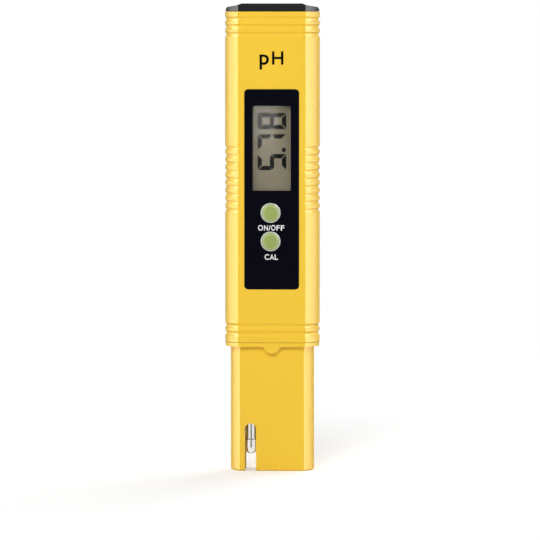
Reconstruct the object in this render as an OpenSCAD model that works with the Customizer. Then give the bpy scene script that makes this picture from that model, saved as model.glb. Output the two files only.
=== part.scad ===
// Pen meter for acidity: a two-shell housing with a display and two keys, a battery
// tray under a pull-off cap, and a glass electrode inside an open sleeve at the foot.
// The front faces -Y, the pen stands along +Z, and the origin is at the middle of its foot.

/* [Housing] */
// Depth from front to back
body_d = 15; // [13:0.1:18]
// How far the curved sides stand out past the flat faces
side_sag = 4.45; // [4:0.05:5.4]
// Room between the widest inner piece and the shells' side walls
side_room = 1.25; // [1:0.05:3]
// Wall of the two shells
wall = 1.5; // [1.3:0.05:1.7]
// Depth of the tongue that joins the shells
lip_h = 1.2; // [0.8:0.1:1.6]
// Thickness of that tongue
lip_t = 0.6; // [0.5:0.05:0.7]
// Width of the small groove along the side seam
seam_w = 0.5; // [0.3:0.05:0.7]
// Radius of the locating posts
post_r = 1.3; // [1.1:0.05:1.5]
// Radius of the pin on each locating post
pin_r = 0.6; // [0.5:0.05:0.7]
// Height of the lower pair of posts over the shells' lower end
post_low = 15.4; // [13:0.1:18]
// From the upper pair of posts to the board's upper edge
post_drop = 3; // [2:0.1:5]

/* [Ribs and grip] */
// Width of each groove round the housing
groove_w = 1.6; // [1.2:0.05:1.9]
// Depth of each groove round the housing
groove_depth = 0.43; // [0.3:0.01:0.6]
// Distance from groove to groove
groove_pitch = 2.45; // [2.2:0.05:2.9]
// Grooves below the cap
top_grooves = 3; // [2:1:4]
// Grooves above the sleeve
low_grooves = 2; // [1:1:3]
// From the shells' upper end to the first groove
top_groove_drop = 2.4; // [2:0.1:3]
// From the shells' lower end to the first groove
low_groove_rise = 2.8; // [2.3:0.1:3.4]
// Finger notches on each side
notch_count = 9; // [5:1:11]
// Distance from notch to notch
notch_pitch = 2.48; // [2.2:0.02:2.8]
// Width of each notch
notch_w = 1.5; // [1.1:0.05:1.8]
// Depth of each notch at the side
notch_depth = 0.42; // [0.3:0.01:0.6]
// How far the end of each notch runs onto the flat faces
notch_end = 0.2; // [0.1:0.05:0.3]
// Height of the lowest notch over the shells' lower end
notch_low = 42.5; // [38:0.1:46]

/* [Sleeve] */
// Length of the sleeve below its collar
sleeve_len = 40.2; // [36:0.1:46]
// How far the sleeve stands inside the housing's outline
sleeve_inset = 1.8; // [1.6:0.05:2.2]
// Wall of the sleeve round the electrode holder
sleeve_wall = 1.2; // [1:0.05:1.4]
// Extra wall of the sleeve below the holder
seat_step = 0.5; // [0.3:0.05:0.7]
// Height of the holder's seat
seat_z = 17.8; // [16.5:0.1:20]
// Height of the collar
collar_h = 1.4; // [1.2:0.1:2.4]
// How far the collar stands inside the housing's outline
collar_inset = 0.15; // [0.05:0.05:0.3]
// Gap from the collar up to the shells
collar_gap = 0.12; // [0.08:0.01:0.2]
// Length of the spigot that enters the shells
spigot_len = 10; // [8:0.1:12]
// Width of the slot in front of the electrode
slot_w = 3.55; // [3:0.05:3.7]
// Height of the slot
slot_h = 15.3; // [12:0.1:16]
// Radius of the half-round tab below the collar
tab_r = 2.7; // [2:0.1:3.2]
// How far the tab reaches below the collar
tab_drop = 2.15; // [1.5:0.05:2.6]
// Chamfer round the foot
foot_chamfer = 0.4; // [0.2:0.05:0.6]
// Height of the snap bead over the shells' lower end
bead_rise = 4.5; // [3.5:0.1:6]
// Height of the snap bead
bead_h = 1.3; // [1:0.1:1.6]
// How far the snap bead stands in
bead_depth = 0.6; // [0.4:0.05:0.7]
// Length of each snap bead
bead_w = 16; // [10:0.5:18]

/* [Panel] */
// Width of the black panel
panel_w = 17.5; // [16.8:0.05:18]
// From the display opening to the panel's upper edge
panel_top = 5.3; // [4:0.1:7]
// Thickness of the panel
panel_t = 0.6; // [0.55:0.05:0.9]
// Depth of the recess that holds the panel
panel_sink = 0.5; // [0.35:0.05:0.55]
// Corner radius of the panel
panel_r = 1.2; // [0.6:0.1:2]
// Height of the panel over the shells' lower end
panel_low = 17.15; // [15.5:0.05:17.5]
// Width of the display opening
window_w = 12.2; // [11.5:0.1:12.6]
// Height of the display opening
window_h = 27.1; // [25:0.1:28]
// How far the clear window reaches past its opening
window_lap = 1; // [0.6:0.1:1.2]
// Thickness of the clear window
window_t = 0.9; // [0.6:0.05:1]

/* [Keys] */
// Radius of each key
key_r = 2.6; // [2.4:0.05:2.9]
// How far the keys stand left of the middle
key_shift = 0.35; // [0.1:0.05:0.6]
// How far a key stands over the panel
key_rise = 0.7; // [0.5:0.05:1]
// Height of a key's domed top
key_dome = 0.4; // [0.3:0.05:0.45]
// Height of the lower key over the panel's lower edge
key_low = 15.38; // [14.5:0.01:16]
// Distance between the keys
key_pitch = 9.12; // [8:0.02:9.4]
// Travel of a key
key_travel = 0.3; // [0.2:0.05:0.4]
// Width of a key's flange behind the shell
flange_w = 0.6; // [0.4:0.05:0.7]
// Thickness of that flange
flange_t = 0.8; // [0.6:0.05:1]
// Width of the trim ring
ring_w = 0.46; // [0.4:0.02:0.6]
// How far the trim ring stands over the panel
ring_rise = 0.15; // [0.1:0.05:0.3]
// Side of each tact switch
switch_w = 4.5; // [4:0.1:5]
// Height of each tact switch over the board
switch_h = 1.9; // [1.7:0.05:2.1]
// Depth of the plunger inside its switch
plunger_in = 0.8; // [0.6:0.1:1]
// Radius of each switch plunger
plunger_r = 1.1; // [0.9:0.05:1.3]

/* [Display] */
// How far the glass reaches past the display opening, across
glass_side = 2.05; // [1.8:0.05:2.6]
// How far the glass reaches past the display opening, up and down
glass_end = 1.95; // [1.5:0.05:3]
// Gap from the upper key's flange to the display frame
frame_gap = 0.5; // [0.3:0.1:1.5]
// Room beside the display frame for the posts and the board's edges
frame_room = 2.8; // [2.4:0.1:4]
// Thickness of each sheet of glass
glass_t = 0.7; // [0.5:0.05:0.75]
// Width of the contact ledge along each side
ledge_w = 1.8; // [1.6:0.05:1.9]
// Thickness of the reflector
reflector_t = 0.1; // [0.05:0.05:0.2]
// Rim of the display frame round the glass
frame_rim = 1.5; // [1.2:0.1:1.6]
// Thickness of the frame's plate behind the display
frame_plate = 0.8; // [0.6:0.1:1]
// Width of each rubber contact strip
strip_w = 1.4; // [1.2:0.05:1.45]
// How much shorter than the glass a contact strip is at each end
strip_end = 1.5; // [1:0.1:3]

/* [Board] */
// Distance from the front shell's inner face to the board
standoff = 3.9; // [3.8:0.05:4.1]
// Thickness of the board
board_t = 1.2; // [1:0.1:1.3]
// Gap between the board and the posts beside it
board_side = 1; // [0.5:0.1:1.5]
// Height of the board over the shells' lower end
board_low = 20.4; // [18:0.1:22]
// From the board's side edges to its screws
screw_edge = 2.7; // [2.4:0.1:3]
// Gap from the display frame to the upper screw bosses
screw_gap = 0.75; // [0.5:0.05:2]
// From the board's lower edge to the lower screws
screw_low = 4; // [3.6:0.1:4.2]
// From the board's upper edge to the upper screws
screw_high = 2.2; // [2:0.1:2.3]
// Plastic left between a screw hole and the shell's inner face
boss_floor = 0.4; // [0.3:0.05:0.6]
// Radius of the screw bosses
boss_r = 1.8; // [1.6:0.05:1.9]
// Radius of the screw threads
screw_r = 0.7; // [0.6:0.05:0.8]
// Radius of the screw heads
head_r = 1.4; // [1.2:0.05:1.6]
// Thickness of the screw heads
head_t = 0.7; // [0.5:0.05:0.9]
// Radius of the pegs that hold the display frame on the board
peg_r = 0.5; // [0.4:0.05:0.6]
// Radius of the potted controller
blob_r = 4.5; // [3.5:0.1:5]
// Height of the potted controller
blob_h = 1.2; // [0.8:0.1:1.6]
// Pitch of the amplifier chip's legs
leg_pitch = 1.27; // [1:0.01:1.3]
// Reach of the legs of the chip and the switches
leg_len = 0.9; // [0.6:0.1:1]
// Thickness of those legs
leg_t = 0.25; // [0.15:0.05:0.35]
// Width of the amplifier chip
chip_w = 4; // [3.5:0.1:4.5]
// Length of the amplifier chip
chip_len = 5; // [4.5:0.1:5.5]
// Height of the amplifier chip
chip_h = 1.5; // [1.2:0.1:1.8]
// Width of a small part
part_w = 0.8; // [0.5:0.1:1]
// Length of a small part
part_len = 1.6; // [1:0.1:2]
// Height of a small part
part_h = 0.5; // [0.3:0.1:0.8]
// Distance between the small parts in a row
part_pitch = 3; // [2.4:0.1:3.4]
// Height of the crystal over the upper key's middle
crystal_rise = 2; // [1:0.1:4]
// Radius of the crystal can
crystal_r = 1; // [0.8:0.05:1.2]
// Length of the crystal can
crystal_len = 6; // [5:0.1:7]

/* [Batteries] */
// Diameter of a button cell
cell_d = 11.6; // [11.2:0.1:11.8]
// Thickness of a button cell
cell_t = 5.4; // [5:0.1:5.6]
// Chamfer and crimp of a button cell's can
cell_edge = 0.3; // [0.2:0.05:0.4]
// Height of a button cell's raised face
cell_step = 0.6; // [0.4:0.05:0.8]
// Room round a cell in its pocket
cell_clear = 0.1; // [0.05:0.05:0.2]
// Wall between the two pockets
tray_web = 0.4; // [0.3:0.05:0.6]
// Wall over and under the pockets
tray_wall = 0.8; // [0.6:0.1:1]
// Wall beside the pockets
tray_side = 0.5; // [0.4:0.05:0.6]
// Wall behind the pockets
tray_back = 0.85; // [0.7:0.05:1]
// From the board's upper edge to the shelf under the tray
shelf_rise = 4.1; // [3.5:0.1:8]
// Gap from the tray to the cap's spigot
tray_gap = 0.5; // [0.3:0.05:0.7]
// Width of the pull tab on the tray
pull_w = 8; // [6:0.5:10]
// Thickness of the shelf that the tray stands on
shelf_t = 0.8; // [0.6:0.1:1]
// Width of the ribs that guide the tray
guide_w = 0.9; // [0.7:0.1:1.2]
// Place of the guide ribs behind the tray, either side of the middle
rail_x = 8; // [6:0.5:9]
// Thickness of the contact springs and of the bridge
leaf_t = 0.2; // [0.15:0.05:0.25]
// Place of each contact spring inside its cell's middle
leaf_shift = 3; // [2.6:0.1:3.4]
// Length of a contact spring's foot on the board
foot_len = 3.6; // [3:0.1:4]
// Length of the bend in a contact spring
leaf_bend = 2; // [1.5:0.1:3]
// Width of each contact spring
leaf_w = 3; // [2.4:0.1:3.2]
// Width of the bridge behind the cells
bridge_w = 5; // [4:0.1:6]

/* [Cap] */
// Height of the cap
cap_h = 2.6; // [2.2:0.1:4]
// How far the cap stands inside the housing's outline
cap_inset = 0.2; // [0.05:0.05:0.3]
// Chamfer round the cap's top
cap_chamfer = 0.6; // [0.4:0.05:0.8]
// How far the cap's top falls towards its two sides
cap_fall = 1.1; // [0.5:0.1:1.2]
// Width of the steep step beside the flat middle of the cap's top
cap_step = 1.4; // [1:0.1:1.8]
// Length of the cap's spigot
cap_spigot = 3; // [2.6:0.1:4]
// Wall of the cap's spigot
cap_wall = 1.2; // [1:0.05:1.3]
// Height of the seal round that spigot
seal_h = 1; // [0.8:0.1:1.2]
// Depth of the seal's groove
seal_depth = 0.5; // [0.4:0.05:0.6]

/* [Probe] */
// Place of the glass electrode, left of the middle
probe_x = 6.9; // [6.7:0.1:7.2]
// Outer radius of the glass electrode
probe_r = 2; // [1.7:0.05:2.1]
// Wall of the glass tube
probe_wall = 0.5; // [0.4:0.05:0.6]
// Wall of the sensing tip
membrane_t = 0.25; // [0.15:0.05:0.35]
// Length of the thin-walled stretch above the rounded tip
bulb_len = 2.7; // [2:0.05:3.4]
// Height of the electrode's tip over the foot
tip_z = 5; // [4:0.05:8]
// From the glass electrode's upper end to the board
probe_gap = 2.4; // [2:0.1:4]
// Height of the electrode holder
holder_h = 9.2; // [8:0.1:10.5]
// Thickness of the seal on the holder
gasket_t = 2; // [1.5:0.1:2.5]
// Plastic of the holder in front of and behind the reference tube
holder_web = 1.2; // [1:0.05:1.6]
// Wall of the reference tube
ref_wall = 0.6; // [0.5:0.05:0.8]
// Length of the reference tube
ref_len = 32; // [28:0.5:34]
// Radius of the porous junction
junction_r = 1.2; // [1:0.05:1.4]
// Length of the porous junction
junction_len = 3; // [2.4:0.1:3.6]
// Place of the temperature probe, right of the middle
temp_x = 7; // [6.8:0.1:7.2]
// Radius of the temperature probe
temp_r = 1.5; // [1.2:0.05:1.5]
// Height of the temperature probe's tip over the foot
temp_tip = 8; // [6:0.1:10]
// Height of the stoppers
stopper_h = 3; // [2:0.1:4]
// Height of the electrode stopper's rim over the glass
stopper_rim = 0.8; // [0.5:0.1:1.2]
// Length of the temperature probe
temp_len = 22; // [20:0.5:24]
// Radius of the silver wires
wire_r = 0.25; // [0.2:0.01:0.3]
// Radius of the insulated leads
lead_r = 0.4; // [0.3:0.01:0.42]

/* [Fits] */
// Gap between pieces that are glued, pressed or snapped together
fit = 0.05; // [0.03:0.01:0.08]
// Gap between pieces that slide
slide_fit = 0.1; // [0.08:0.01:0.15]

/* [Hidden] */
$fn = 96;
// How far a cut runs past the surface it opens
over = 1;
// How far a rib sinks into the wall that carries it
root = 0.3;

// The display, its frame and the battery tray, the wider of which sets the housing's width
glass_w = window_w + 2 * glass_side;
glass_h = window_h + 2 * glass_end;
rear_glass_w = glass_w - 2 * ledge_w;
frame_w = glass_w + 2 * frame_rim;
frame_h = glass_h + 2 * frame_rim;
pocket_r = cell_d / 2 + cell_clear;
cell_x = pocket_r + tray_web / 2;
tray_w = 2 * (cell_x + pocket_r + tray_side);
tray_h = 2 * (pocket_r + tray_wall);
body_w = max(tray_w, frame_w + 2 * frame_room) + 2 * (side_room + wall);

// Radius and centre of the outline's side arcs
side_r = (pow(body_d / 2, 2) + pow(side_sag, 2)) / (2 * side_sag);
side_c = body_w / 2 - side_r;

// Heights, from the foot up to the cap
shell_z0 = sleeve_len + collar_h;
panel_z0 = shell_z0 + panel_low;
cal_z = panel_z0 + key_low;
on_off_z = cal_z + key_pitch;
window_z = on_off_z + key_r + flange_w + frame_gap + frame_h / 2;
panel_z1 = window_z + window_h / 2 + panel_top;
board_z0 = shell_z0 + board_low;
screw_z = [board_z0 + screw_low, window_z + frame_h / 2 + screw_gap + boss_r];
board_z1 = screw_z[1] + screw_high;
shelf_z = board_z1 + shelf_rise + shelf_t;
tray_z0 = shelf_z + slide_fit;
cell_z = tray_z0 + tray_h / 2;
tray_z1 = tray_z0 + tray_h;
shell_z1 = tray_z1 + tray_gap + cap_spigot;
shell_len = shell_z1 - shell_z0;
seal_z = shell_z1 - cap_spigot / 2;
cap_z0 = shell_z1 + slide_fit;
cap_z1 = shell_z1 + cap_h;

// Depths, from the front face inward
front_y = -body_d / 2;
inner_y = front_y + wall;
floor_y = front_y + panel_sink;
panel_y = floor_y - panel_t;
board_y0 = inner_y + standoff;
board_y1 = board_y0 + board_t;

// The clear window, the keys and their switches
lens_w = window_w + 2 * window_lap;
lens_h = window_h + 2 * window_lap;
key_x = -key_shift;
ring_r = key_r + slide_fit + ring_w;
flange_y0 = inner_y + slide_fit;
flange_y1 = flange_y0 + flange_t;
switch_y = board_y0 - switch_h;

// The display, from its front glass back
glass_y0 = max(inner_y, floor_y + window_t) + fit;
glass_y1 = glass_y0 + glass_t;
glass_y2 = glass_y1 + glass_t;
reflector_y = glass_y2 + reflector_t;
plate_y = reflector_y + fit;
strip_x = (glass_w - ledge_w) / 2;
strip_len = glass_h - 2 * strip_end;
peg_x = frame_w / 2 - frame_rim;
peg_z = (frame_h - frame_rim) / 2;

// The posts, the board between them and its screws
post_x = body_w / 2 - wall - slide_fit - fit - post_r;
post_y = sqrt(pow(side_r - wall, 2) - pow(post_x - side_c, 2)) + root;
post_z = [shell_z0 + post_low, board_z1 - post_drop];
board_w = 2 * (post_x - post_r - board_side);
screw_x = board_w / 2 - screw_edge;
boss_depth = standoff - boss_floor;

// The batteries, from the contact springs back, and the ribs that guide their tray
cell_y = cell_t / 2;
leaf_y = -cell_y - fit;
leaf_x = cell_x - leaf_shift;
tray_y0 = -cell_y + slide_fit;
bridge_y = cell_y + leaf_t;
tray_y1 = bridge_y + tray_back;
guide_x = cell_x + pocket_r - guide_w;

// The holder and what stands in it
bore_inset = sleeve_inset + sleeve_wall;
holder_z1 = seat_z + holder_h;
gasket_z1 = holder_z1 + gasket_t;
probe_z1 = board_z0 - probe_gap;
ref_r = body_d / 2 - bore_inset - 2 * fit - holder_web;
ref_z1 = seat_z + ref_len;
temp_z1 = temp_tip + temp_len;
lead_z1 = screw_z[0] - head_r - lead_r;
lead_y = board_y1 + lead_r + fit;
wire_y = board_y1 + wire_r + fit;

yellow = "#F6CD40";
black = "#17171C";

// The housing's outline, drawn in by t
module outline(t) {
    intersection() {
        square([2 * body_w, body_d - 2 * t], center = true);
        union() {
            for (s = [-1, 1])
                translate([s * side_c, 0])
                    circle(r = side_r - t);
            square([2 * side_c, 3 * side_r], center = true);
        }
    }
}

// A bar with the housing's outline, drawn in by t, from z0 to z1
module bar(t, z0, z1) {
    translate([0, 0, z0])
        linear_extrude(z1 - z0)
            outline(t);
}

// The same bar with height h and its upper edge chamfered by c
module chamfered_bar(t, h, c) {
    d = body_d / 2 - t;
    r = side_r - t;
    intersection() {
        rotate([90, 0, 90])
            linear_extrude(2 * body_w, center = true)
                polygon([[-d, 0], [d, 0], [d, h - c], [d - c, h], [c - d, h], [-d, h - c]]);
        union() {
            for (s = [-1, 1])
                translate([s * side_c, 0, 0])
                    rotate_extrude()
                        polygon([[0, 0], [r, 0], [r, h - c], [r - c, h], [0, h]]);
            translate([-side_c, -body_d, 0])
                cube([2 * side_c, 2 * body_d, h]);
        }
    }
}

// One half of the outline: side -1 is the front, side 1 the rear
module half_plane(side) {
    translate([-body_w, side > 0 ? 0 : -body_d])
        square([2 * body_w, body_d]);
}

// A box between two corners
module block(low, high) {
    translate(low)
        cube(high - low);
}

// A round bar along Y from y0 to y1
module pin_y(x, z, r, y0, y1) {
    translate([x, y1, z])
        rotate([90, 0, 0])
            cylinder(r = r, h = y1 - y0);
}

// The panel's shape grown by g, from y0 to y1
module panel_plate(g, y0, y1) {
    w = panel_w + 2 * g;
    h = panel_z1 - panel_z0 + 2 * g;
    r = panel_r + g;
    corners = [for (q = [0:3], i = [0:6])
        let (a = q * 90 + i * 15, cx = w / 2 - r, cz = h / 2 - r)
            [(q == 0 || q == 3 ? cx : -cx) + r * cos(a), (q < 2 ? cz : -cz) + r * sin(a)]];
    translate([0, y1, (panel_z0 + panel_z1) / 2])
        rotate([90, 0, 0])
            linear_extrude(y1 - y0)
                polygon(corners);
}

// Radius of a round cutter that leaves a groove w wide and deep
function scoop_r(w, deep) = (pow(w / 2, 2) + pow(deep, 2)) / (2 * deep);

// Heights of the grooves round the housing
groove_z = concat([for (i = [0:top_grooves - 1]) shell_z1 - top_groove_drop - i * groove_pitch],
                  [for (i = [0:low_grooves - 1]) shell_z0 + low_groove_rise + i * groove_pitch]);

// The grooves across the flat face on one side
module face_grooves(side) {
    r = scoop_r(groove_w, groove_depth);
    run = side_c + sqrt(pow(side_r, 2) - pow(body_d / 2 - groove_depth, 2));
    for (z = groove_z)
        translate([0, side * (body_d / 2 - groove_depth + r), z])
            rotate([0, 90, 0])
                cylinder(r = r, h = 2 * run + r, center = true);
}

// The grooves round the two curved sides
module side_grooves() {
    r = scoop_r(groove_w, groove_depth);
    for (s = [-1, 1], z = groove_z)
        translate([s * side_c, 0, z])
            rotate([0, 0, -s * 90])
                rotate_extrude(angle = 180)
                    translate([side_r - groove_depth + r, 0])
                        circle(r = r);
}

// A finger notch on the side s, deepest at the seam and running out on the flat faces
module notch(s, z) {
    r = scoop_r(notch_w, notch_depth);
    sag = side_sag - notch_depth + notch_end;
    sweep_r = (pow(body_d / 2, 2) + pow(sag, 2)) / (2 * sag);
    translate([s * (body_w / 2 - notch_depth - sweep_r), 0, z])
        rotate([0, 0, -s * 90])
            rotate_extrude(angle = 180)
                translate([sweep_r + r, 0])
                    circle(r = r);
}

// The half-shell without its inner fittings
module half_shell(side) {
    translate([0, 0, shell_z0])
        linear_extrude(shell_len)
            intersection() {
                difference() {
                    outline(0);
                    outline(wall);
                }
                half_plane(side);
            }
}

// The finger notches in the two curved sides
module notches() {
    for (s = [-1, 1], i = [0:notch_count - 1])
        notch(s, shell_z0 + notch_low + i * notch_pitch);
}

// The small groove along the seam of the two shells
module seam_groove() {
    for (s = [-1, 1])
        translate([s * body_w / 2, 0, shell_z0 + shell_len / 2])
            rotate([0, 0, 45])
                cube([seam_w / sqrt(2), seam_w / sqrt(2), shell_len + 2 * over], center = true);
}

// The half-shell with its ribs and grip
module carved_shell(side) {
    difference() {
        difference() {
            difference() {
                difference() {
                    half_shell(side);
                    side_grooves();
                }
                face_grooves(side);
            }
            notches();
        }
        seam_groove();
    }
}

// The snap bead on a half-shell's inner face
module snap_bead(side) {
    y0 = side * (body_d / 2 - wall - bead_depth);
    y1 = side * (body_d / 2 - wall + root);
    z0 = shell_z0 + bead_rise;
    block([-bead_w / 2, min(y0, y1), z0], [bead_w / 2, max(y0, y1), z0 + bead_h]);
}

module front_shell() {
    color(yellow)
        difference() {
            union() {
                carved_shell(-1);
                snap_bead(-1);
                for (s = [-1, 1]) {
                    for (z = post_z)
                        pin_y(s * post_x, z, post_r, -post_y, -fit);
                    for (z = screw_z)
                        pin_y(s * screw_x, z, boss_r, inner_y - root, board_y0);
                    intersection() {
                        block([s * guide_x - guide_w / 2, front_y, tray_z0],
                              [s * guide_x + guide_w / 2, leaf_y - slide_fit, tray_z1]);
                        bar(wall - root, tray_z0, tray_z1);
                    }
                }
            }
            // Rebate for the rear shell's tongue
            translate([0, 0, shell_z0 - over])
                linear_extrude(shell_len + 2 * over)
                    intersection() {
                        difference() {
                            outline(wall - lip_t - fit);
                            outline(wall + slide_fit);
                        }
                        translate([-body_w, -lip_h - fit])
                            square([2 * body_w, lip_h + fit + over]);
                    }
            // Recess for the panel, with the openings for the window and the keys
            panel_plate(fit, front_y - over, floor_y);
            block([-lens_w / 2 - fit, floor_y - over, window_z - lens_h / 2 - fit],
                  [lens_w / 2 + fit, inner_y + over, window_z + lens_h / 2 + fit]);
            for (z = [cal_z, on_off_z])
                pin_y(key_x, z, key_r + slide_fit, front_y - over, inner_y + over);
            for (s = [-1, 1]) {
                for (z = post_z)
                    pin_y(s * post_x, z, pin_r + fit, -2 * lip_h - fit, over);
                for (z = screw_z)
                    pin_y(s * screw_x, z, screw_r + fit, board_y0 - boss_depth, board_y0 + over);
            }
        }
}

module rear_shell() {
    rail_y = tray_y1 + slide_fit;
    color(yellow)
        difference() {
            union() {
                carved_shell(1);
                snap_bead(1);
                // Tongue
                translate([0, 0, shell_z0])
                    linear_extrude(shell_len)
                        intersection() {
                            difference() {
                                outline(wall - lip_t);
                                outline(wall);
                            }
                            translate([-body_w, -lip_h])
                                square([2 * body_w, lip_h + root]);
                        }
                for (s = [-1, 1]) {
                    for (z = post_z) {
                        pin_y(s * post_x, z, post_r, 0, post_y);
                        pin_y(s * post_x, z, pin_r, -2 * lip_h, root);
                    }
                    block([s * rail_x - guide_w / 2, rail_y, tray_z0],
                          [s * rail_x + guide_w / 2, -inner_y + root, tray_z1]);
                }
                // Shelf under the battery tray
                intersection() {
                    bar(wall - root, shelf_z - shelf_t, shelf_z);
                    block([-body_w, board_y1 + crystal_r, 0], [body_w, body_d, shell_z1]);
                }
            }
        }
}

module probe_guard() {
    crown_r = 0.53 * slot_w;
    bead_z = shell_z0 + bead_rise;
    spigot_y = body_d / 2 - wall - slide_fit;
    groove_y = body_d / 2 - wall - bead_depth - slide_fit;
    color(yellow)
        difference() {
            union() {
                translate([0, 0, sleeve_len + root])
                    mirror([0, 0, 1])
                        chamfered_bar(sleeve_inset, sleeve_len + root, foot_chamfer);
                bar(collar_inset, sleeve_len, shell_z0 - collar_gap);
                bar(wall + slide_fit, shell_z0 - root, shell_z0 + spigot_len);
                // Half-round tab, up to the middle of the collar
                intersection() {
                    pin_y(0, sleeve_len - tab_drop + tab_r, tab_r,
                          front_y + collar_inset, front_y + sleeve_inset + root);
                    block([-2 * tab_r, -body_d, 0], [2 * tab_r, 0, sleeve_len + collar_h / 2]);
                }
            }
            bar(bore_inset, seat_z, shell_z0 + spigot_len + over);
            bar(bore_inset + seat_step, -over, seat_z + over);
            // Slot through the front and the back
            rotate([90, 0, 0])
                linear_extrude(2 * body_d, center = true)
                    translate([-probe_x, 0])
                        intersection() {
                            translate([-slot_w / 2, -over])
                                square([slot_w, slot_h + over]);
                            union() {
                                translate([0, slot_h - crown_r])
                                    circle(r = crown_r);
                                translate([-slot_w, -2 * over])
                                    square([2 * slot_w, slot_h - crown_r + 2 * over]);
                            }
                        }
            // Grooves for the shells' snap beads
            for (side = [0, 180])
                rotate([0, 0, side])
                    block([-bead_w / 2 - slide_fit, groove_y, bead_z - slide_fit],
                          [bead_w / 2 + slide_fit, spigot_y + over, bead_z + bead_h + slide_fit]);
        }
}

module display_panel() {
    color(black)
        difference() {
            panel_plate(0, panel_y, floor_y);
            block([-window_w / 2, panel_y - over, window_z - window_h / 2],
                  [window_w / 2, floor_y + over, window_z + window_h / 2]);
            for (z = [cal_z, on_off_z])
                pin_y(key_x, z, ring_r + fit, panel_y - over, floor_y + over);
        }
}

module display_window() {
    color("lightcyan", 0.4)
        block([-lens_w / 2, floor_y, window_z - lens_h / 2],
              [lens_w / 2, floor_y + window_t, window_z + lens_h / 2]);
}

// A trim ring round a key, with its outer edge chamfered
module trim_ring(z) {
    h = panel_t + ring_rise;
    r0 = key_r + slide_fit;
    c = ring_rise;
    color("ivory")
        translate([key_x, floor_y, z])
            rotate([90, 0, 0])
                rotate_extrude()
                    polygon([[r0, 0], [ring_r, 0], [ring_r, h - c],
                             [ring_r - c, h], [r0 + c, h], [r0, h - c]]);
}

module on_off_ring() {
    trim_ring(on_off_z);
}

module cal_ring() {
    trim_ring(cal_z);
}

// A round key with a domed top and a flange behind the shell
module key(z) {
    top = flange_y1 - panel_y + key_rise;
    shoulder = top - key_dome;
    flange_r = key_r + flange_w;
    dome_r = scoop_r(2 * key_r, key_dome);
    edge = key_dome / 2;
    color("#99A662")
        translate([key_x, flange_y1, z])
            rotate([90, 0, 0])
                rotate_extrude()
                    intersection() {
                        polygon([[0, 0], [flange_r, 0], [flange_r, flange_t], [key_r, flange_t],
                                 [key_r, shoulder - edge / 2], [key_r - edge, shoulder + edge / 2],
                                 [key_r - edge, top + over], [0, top + over]]);
                        translate([0, top - dome_r])
                            circle(r = dome_r);
                    }
}

module on_off_button() {
    key(on_off_z);
}

module cal_button() {
    key(cal_z);
}

// The plunger that a key pushes into its switch
module plunger(z) {
    color(black)
        pin_y(key_x, z, plunger_r, flange_y1, switch_y + plunger_in);
}

module on_off_plunger() {
    plunger(on_off_z);
}

module cal_plunger() {
    plunger(cal_z);
}

// A tact switch with a round opening for its plunger and four legs on the board
module tact_switch(z) {
    w = switch_w / 2;
    color("#3A3A3F")
        difference() {
            union() {
                block([key_x - w, switch_y, z - w], [key_x + w, board_y0, z + w]);
                for (t = [-1, 1])
                    block([key_x - w - leg_len, board_y0 - leg_t, z + t * w / 2 - leg_t],
                          [key_x + w + leg_len, board_y0, z + t * w / 2 + leg_t]);
            }
            pin_y(key_x, z, plunger_r + fit,
                  switch_y - over, switch_y + plunger_in + key_travel + slide_fit);
        }
}

module on_off_switch() {
    tact_switch(on_off_z);
}

module cal_switch() {
    tact_switch(cal_z);
}

module lcd_front_glass() {
    color("lightgray", 0.5)
        block([-glass_w / 2, glass_y0, window_z - glass_h / 2],
              [glass_w / 2, glass_y1, window_z + glass_h / 2]);
}

module lcd_rear_glass() {
    color("lightgray", 0.5)
        block([-rear_glass_w / 2, glass_y1, window_z - glass_h / 2],
              [rear_glass_w / 2, glass_y2, window_z + glass_h / 2]);
}

module lcd_reflector() {
    color("#807967")
        block([-rear_glass_w / 2, glass_y2, window_z - glass_h / 2],
              [rear_glass_w / 2, reflector_y, window_z + glass_h / 2]);
}

// The frame that holds the display and its contact strips over the board
module lcd_frame() {
    w = frame_w / 2;
    h = frame_h / 2;
    gw = glass_w / 2 + fit;
    gh = glass_h / 2 + fit;
    room_w = rear_glass_w / 2 - frame_rim;
    color("white")
        translate([0, 0, window_z]) {
            difference() {
                block([-w, glass_y0 + fit, -h], [w, board_y0, h]);
                block([-gw, glass_y0 - over, -gh], [gw, plate_y, gh]);
                block([-room_w, plate_y + frame_plate, frame_rim - gh],
                      [room_w, board_y0 + over, gh - frame_rim]);
                for (s = [-1, 1])
                    block([s * strip_x - strip_w / 2 - fit, glass_y0, -strip_len / 2 - fit],
                          [s * strip_x + strip_w / 2 + fit, board_y0 + over, strip_len / 2 + fit]);
            }
            for (s = [-1, 1])
                pin_y(s * peg_x, s * peg_z, peg_r, board_y0 - root, board_y1);
        }
}

// A rubber strip that joins the display's ledge to the board
module contact_strip(s) {
    color("#555560")
        block([s * strip_x - strip_w / 2, glass_y1, window_z - strip_len / 2],
              [s * strip_x + strip_w / 2, board_y0, window_z + strip_len / 2]);
}

module left_contact_strip() {
    contact_strip(-1);
}

module right_contact_strip() {
    contact_strip(1);
}

module circuit_board() {
    color("darkgreen")
        difference() {
            block([-board_w / 2, board_y0, board_z0], [board_w / 2, board_y1, board_z1]);
            for (s = [-1, 1]) {
                for (z = screw_z)
                    pin_y(s * screw_x, z, screw_r + slide_fit, board_y0 - over, board_y1 + over);
                pin_y(s * peg_x, window_z + s * peg_z, peg_r + fit, board_y0 - over, board_y1 + over);
            }
        }
}

// The potted controller, a flat drop on the board's rear face
module controller_blob() {
    r = scoop_r(2 * blob_r, blob_h);
    color(black)
        translate([0, board_y1, window_z])
            rotate([-90, 0, 0])
                rotate_extrude()
                    intersection() {
                        square([blob_r + 1, blob_h + 1]);
                        translate([0, blob_h - r])
                            circle(r = r);
                    }
}

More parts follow.
